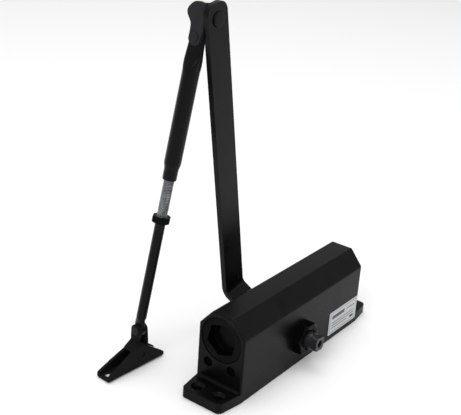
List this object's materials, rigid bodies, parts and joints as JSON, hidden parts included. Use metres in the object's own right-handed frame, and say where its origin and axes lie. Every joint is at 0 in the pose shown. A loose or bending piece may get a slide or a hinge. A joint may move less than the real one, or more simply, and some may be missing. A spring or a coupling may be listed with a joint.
{
  "type": "surface-mounted door closer with folding arm",
  "caption": "Black surface-mounted door closer: cast hydraulic body with screw feet, flat main arm, riveted elbow, adjustable rod forearm and a pressed-steel frame shoe.",
  "frame": {"origin": "on the mounting plane, under the middle of the body block in X and Y", "axes": "+X along the body towards the closing spring's end and the name plate, +Y along the pinion towards the arm, +Z away from the face the body is screwed to"},
  "size_m": [0.2324, 0.1188, 0.2809],
  "materials": {
    "body_paint": "satin black powder coat",
    "plug_black": "satin black oxide",
    "seal_rubber": "matt black",
    "bearing_steel": "ground steel",
    "shaft_steel": "dark phosphated steel",
    "ring_plastic": "plain plastic",
    "spring_steel": "oiled spring steel",
    "label_face": "satin silver label",
    "arm_paint": "satin black powder coat",
    "link_paint": "satin black powder coat",
    "rivet_paint": "satin black powder coat",
    "tube_paint": "satin black powder coat",
    "nut_paint": "satin black oxide",
    "rod_zinc": "zinc-plated thread",
    "shoe_paint": "satin black powder coat",
    "valve_black": "blackened steel"
  },
  "bodies": {
    "housing": {"body_casting": "body_paint", "end_plug_left": "plug_black", "end_plug_right": "plug_black", "plug_ring_left": "seal_rubber", "plug_ring_right": "seal_rubber", "gland_nut_front": "plug_black", "gland_nut_rear": "plug_black", "shaft_seal_front": "seal_rubber", "shaft_seal_rear": "seal_rubber", "bearing_front": "bearing_steel", "bearing_rear": "bearing_steel", "name_plate": "label_face", "closing_spring": "spring_steel"},
    "piston": {"rack_piston": "shaft_steel", "piston_ring": "ring_plastic", "check_seat": "bearing_steel", "check_ball": "bearing_steel", "spring_seat": "bearing_steel"},
    "pinion": {"pinion_shaft": "shaft_steel", "main_arm": "arm_paint", "arm_washer": "plug_black", "arm_screw": "plug_black", "elbow_rivet": "rivet_paint"},
    "closing_valve_screw": {"closing_valve": "valve_black", "valve_ring_closing": "seal_rubber"},
    "latching_valve_screw": {"latching_valve": "valve_black", "valve_ring_latching": "seal_rubber"},
    "link": {"elbow_link": "link_paint", "tilt_rivet": "rivet_paint"},
    "forearm": {"forearm_tube": "tube_paint"},
    "nut": {"lock_nut": "nut_paint"},
    "rod": {"adjusting_rod": "rod_zinc"},
    "shoe": {"frame_shoe": "shoe_paint", "shoe_rivet": "rivet_paint"}
  },
  "joints": [
    {"name": "pinion_turn", "type": "hinge", "parent": "housing", "child": "pinion", "pos_m": [-0.0042, 0, 0.023], "axis": [0, 1, 0], "range_deg": [0, 100]},
    {"name": "piston_slide", "type": "slide", "parent": "housing", "child": "piston", "axis": [1, 0, 0], "range_m": [0, 0.01571], "stiffness_N_per_m": 25000, "springref_m": -0.03, "deforming": ["closing_spring"]},
    {"name": "closing_valve_turn", "type": "hinge", "parent": "housing", "child": "closing_valve_screw", "pos_m": [-0.078, -0.0106, 0.023], "axis": [1, 0, 0], "range_deg": [-180, 180]},
    {"name": "latching_valve_turn", "type": "hinge", "parent": "housing", "child": "latching_valve_screw", "pos_m": [-0.078, 0.0106, 0.023], "axis": [1, 0, 0], "range_deg": [-180, 180]},
    {"name": "elbow_turn", "type": "hinge", "parent": "pinion", "child": "link", "pos_m": [-0.05126, 0, 0.26853], "axis": [0, 1, 0], "range_deg": [-9, 150]},
    {"name": "forearm_tilt", "type": "hinge", "parent": "link", "child": "forearm", "pos_m": [-0.05836, 0.055, 0.25523], "axis": [0.9903, 0, -0.1392], "range_deg": [-4, 20]},
    {"name": "rod_reach", "type": "slide", "parent": "forearm", "child": "nut", "axis": [-0.1387, 0.0786, -0.9872], "range_m": [-0.00626, 0.01251]},
    {"name": "rod_turn", "type": "hinge", "parent": "nut", "child": "rod", "pos_m": [-0.05836, 0.055, 0.25523], "axis": [-0.1387, 0.0786, -0.9872], "range_deg": [-1800, 3600]},
    {"name": "shoe_turn", "type": "hinge", "parent": "rod", "child": "shoe", "pos_m": [-0.09028, 0.07309, 0.02813], "axis": [0.9977, -0.068, 0], "range_deg": [-85, 85]}
  ],
  "couplings": [
    {"joint": "piston_slide", "follows": "pinion_turn", "m_per_rad": 0.009},
    {"joint": "rod_reach", "follows": "rod_turn", "m_per_rad": 0.00019894}
  ]
}
